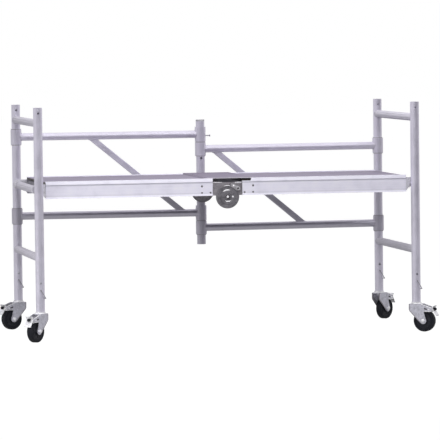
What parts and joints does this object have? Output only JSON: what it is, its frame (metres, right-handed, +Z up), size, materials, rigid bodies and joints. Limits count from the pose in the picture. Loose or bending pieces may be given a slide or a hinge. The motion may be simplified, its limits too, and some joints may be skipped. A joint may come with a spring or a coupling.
{
  "type": "folding mobile work platform",
  "caption": "Folding aluminium work platform: two ladder frames on braked swivel casters, a folding gate behind, and a hinged deck that breaks upward at the middle.",
  "frame": {"origin": "on the floor, mid-way between the four post axes", "axes": "+X along the deck to the right in the picture, +Y to the folding gate at the back, +Z up"},
  "size_m": [1.9135, 0.9063, 1.042],
  "materials": {
    "tube_alloy": "drawn satin",
    "rung_alloy": "extruded, fluted",
    "rail_alloy": "extruded satin",
    "cast_alloy": "as cast",
    "flap_sheet": "rolled sheet",
    "film_plywood": "resin film, matt",
    "zinc_steel": "zinc plated",
    "bright_zinc": "bright zinc",
    "zinc_wire": "drawn wire",
    "hinge_steel": "zinc plated, dull",
    "disc_steel": "pressed, zinc plated",
    "bush_nylon": "moulded",
    "cap_plastic": "moulded",
    "hub_nylon": "moulded",
    "tyre_rubber": "solid rubber"
  },
  "bodies": {
    "left_frame": {"left_front_post": "tube_alloy", "left_rear_post": "tube_alloy", "left_rungs": "rung_alloy", "left_caster_stems": "bright_zinc"},
    "left_gate": {"left_gate_rails": "tube_alloy", "left_diagonal": "tube_alloy", "left_gate_sleeves": "tube_alloy", "left_gate_bushes": "bush_nylon", "centre_post": "tube_alloy", "centre_cap": "cap_plastic"},
    "gate_lock_pin": {"gate_lock_pin": "zinc_wire"},
    "right_gate": {"right_gate_rails": "tube_alloy", "right_diagonal": "tube_alloy", "right_gate_sleeves": "tube_alloy", "right_gate_bushes": "bush_nylon"},
    "right_frame": {"right_front_post": "tube_alloy", "right_rear_post": "tube_alloy", "right_rungs": "rung_alloy", "right_caster_stems": "bright_zinc"},
    "left_deck": {"left_front_side_rail": "rail_alloy", "left_rear_side_rail": "rail_alloy", "left_deck_panel": "film_plywood", "left_deck_beams": "rail_alloy", "left_claws": "cast_alloy", "left_hinge_plates": "hinge_steel", "hinge_discs": "disc_steel", "cover_flap": "flap_sheet"},
    "right_deck": {"right_front_side_rail": "rail_alloy", "right_rear_side_rail": "rail_alloy", "right_deck_panel": "film_plywood", "right_deck_beams": "rail_alloy", "right_claws": "cast_alloy", "right_hinge_plates": "hinge_steel"},
    "front_lock_lever": {"front_lock_lever": "hinge_steel"},
    "rear_lock_lever": {"rear_lock_lever": "hinge_steel"},
    "left_rear_bail": {"left_rear_bail": "zinc_wire"},
    "left_rear_caster": {"left_rear_fork": "zinc_steel", "left_rear_axle": "bright_zinc"},
    "left_rear_wheel": {"left_rear_tyre": "tyre_rubber", "left_rear_hub": "hub_nylon"},
    "left_rear_pedal": {"left_rear_pedal": "zinc_steel"},
    "left_front_bail": {"left_front_bail": "zinc_wire"},
    "left_front_caster": {"left_front_fork": "zinc_steel", "left_front_axle": "bright_zinc"},
    "left_front_wheel": {"left_front_tyre": "tyre_rubber", "left_front_hub": "hub_nylon"},
    "left_front_pedal": {"left_front_pedal": "zinc_steel"},
    "right_rear_bail": {"right_rear_bail": "zinc_wire"},
    "right_rear_caster": {"right_rear_fork": "zinc_steel", "right_rear_axle": "bright_zinc"},
    "right_rear_wheel": {"right_rear_tyre": "tyre_rubber", "right_rear_hub": "hub_nylon"},
    "right_rear_pedal": {"right_rear_pedal": "zinc_steel"},
    "right_front_bail": {"right_front_bail": "zinc_wire"},
    "right_front_caster": {"right_front_fork": "zinc_steel", "right_front_axle": "bright_zinc"},
    "right_front_wheel": {"right_front_tyre": "tyre_rubber", "right_front_hub": "hub_nylon"},
    "right_front_pedal": {"right_front_pedal": "zinc_steel"}
  },
  "joints": [
    {"name": "left_gate_swing", "type": "hinge", "parent": "left_frame", "child": "left_gate", "pos_m": [-0.86, 0.37, 0.7], "axis": [0, 0, 1], "range_deg": [0, 75]},
    {"name": "gate_fold", "type": "hinge", "parent": "left_gate", "child": "right_gate", "pos_m": [0, 0.326, 0.7], "axis": [0, 0, 1], "range_deg": [-150, 0]},
    {"name": "right_frame_swing", "type": "hinge", "parent": "right_gate", "child": "right_frame", "pos_m": [0.86, 0.37, 0.7], "axis": [0, 0, 1], "range_deg": [0, 75]},
    {"name": "left_deck_lift", "type": "hinge", "parent": "left_frame", "child": "left_deck", "pos_m": [-0.86, 0, 0.672], "axis": [0, -1, 0], "range_deg": [0, 75]},
    {"name": "deck_fold", "type": "hinge", "parent": "left_deck", "child": "right_deck", "pos_m": [0, 0, 0.628], "axis": [0, 1, 0], "range_deg": [0, 150]},
    {"name": "gate_pin_pull", "type": "slide", "parent": "left_gate", "child": "gate_lock_pin", "axis": [0.9987, -0.0511, 0], "range_m": [0, 0.009]},
    {"name": "front_lock_turn", "type": "hinge", "parent": "right_deck", "child": "front_lock_lever", "pos_m": [0.046, -0.347, 0.666], "axis": [0, 1, 0], "range_deg": [0, 35]},
    {"name": "rear_lock_turn", "type": "hinge", "parent": "right_deck", "child": "rear_lock_lever", "pos_m": [0.046, 0.289, 0.666], "axis": [0, 1, 0], "range_deg": [0, 35]},
    {"name": "left_rear_bail_lift", "type": "hinge", "parent": "left_frame", "child": "left_rear_bail", "pos_m": [-0.86, 0.37, 0.231], "axis": [0, -1, 0], "range_deg": [0, 110]},
    {"name": "left_rear_swivel", "type": "hinge", "parent": "left_frame", "child": "left_rear_caster", "pos_m": [-0.86, 0.37, 0.12], "axis": [0, 0, 1], "continuous": true},
    {"name": "left_rear_roll", "type": "hinge", "parent": "left_rear_caster", "child": "left_rear_wheel", "pos_m": [-0.89595, 0.35246, 0.05], "axis": [0.4384, -0.8988, 0], "continuous": true},
    {"name": "left_rear_brake", "type": "hinge", "parent": "left_rear_caster", "child": "left_rear_pedal", "pos_m": [-0.92112, 0.34019, 0.102], "axis": [0.4384, -0.8988, 0], "range_deg": [0, 12]},
    {"name": "left_front_bail_lift", "type": "hinge", "parent": "left_frame", "child": "left_front_bail", "pos_m": [-0.86, -0.37, 0.231], "axis": [0, -1, 0], "range_deg": [0, 110]},
    {"name": "left_front_swivel", "type": "hinge", "parent": "left_frame", "child": "left_front_caster", "pos_m": [-0.86, -0.37, 0.12], "axis": [0, 0, 1], "continuous": true},
    {"name": "left_front_roll", "type": "hinge", "parent": "left_front_caster", "child": "left_front_wheel", "pos_m": [-0.88728, -0.39925, 0.05], "axis": [0.7314, -0.682, 0], "continuous": true},
    {"name": "left_front_brake", "type": "hinge", "parent": "left_front_caster", "child": "left_front_pedal", "pos_m": [-0.90638, -0.41973, 0.102], "axis": [0.7314, -0.682, 0], "range_deg": [0, 12]},
    {"name": "right_rear_bail_lift", "type": "hinge", "parent": "right_frame", "child": "right_rear_bail", "pos_m": [0.86, 0.37, 0.231], "axis": [0, -1, 0], "range_deg": [0, 110]},
    {"name": "right_rear_swivel", "type": "hinge", "parent": "right_frame", "child": "right_rear_caster", "pos_m": [0.86, 0.37, 0.12], "axis": [0, 0, 1], "continuous": true},
    {"name": "right_rear_roll", "type": "hinge", "parent": "right_rear_caster", "child": "right_rear_wheel", "pos_m": [0.89064, 0.39571, 0.05], "axis": [-0.6428, 0.766, 0], "continuous": true},
    {"name": "right_rear_brake", "type": "hinge", "parent": "right_rear_caster", "child": "right_rear_pedal", "pos_m": [0.91209, 0.41371, 0.102], "axis": [-0.6428, 0.766, 0], "range_deg": [0, 12]},
    {"name": "right_front_bail_lift", "type": "hinge", "parent": "right_frame", "child": "right_front_bail", "pos_m": [0.86, -0.37, 0.231], "axis": [0, -1, 0], "range_deg": [0, 110]},
    {"name": "right_front_swivel", "type": "hinge", "parent": "right_frame", "child": "right_front_caster", "pos_m": [0.86, -0.37, 0.12], "axis": [0, 0, 1], "continuous": true},
    {"name": "right_front_roll", "type": "hinge", "parent": "right_front_caster", "child": "right_front_wheel", "pos_m": [0.89277, -0.39294, 0.05], "axis": [0.5736, 0.8192, 0], "continuous": true},
    {"name": "right_front_brake", "type": "hinge", "parent": "right_front_caster", "child": "right_front_pedal", "pos_m": [0.9157, -0.409, 0.102], "axis": [0.5736, 0.8192, 0], "range_deg": [0, 12]}
  ],
  "couplings": [
    {"joint": "gate_fold", "follows": "left_gate_swing", "ratio": -2},
    {"joint": "right_frame_swing", "follows": "left_gate_swing", "ratio": 1},
    {"joint": "left_deck_lift", "follows": "left_gate_swing", "ratio": 1},
    {"joint": "deck_fold", "follows": "left_gate_swing", "ratio": 2}
  ]
}
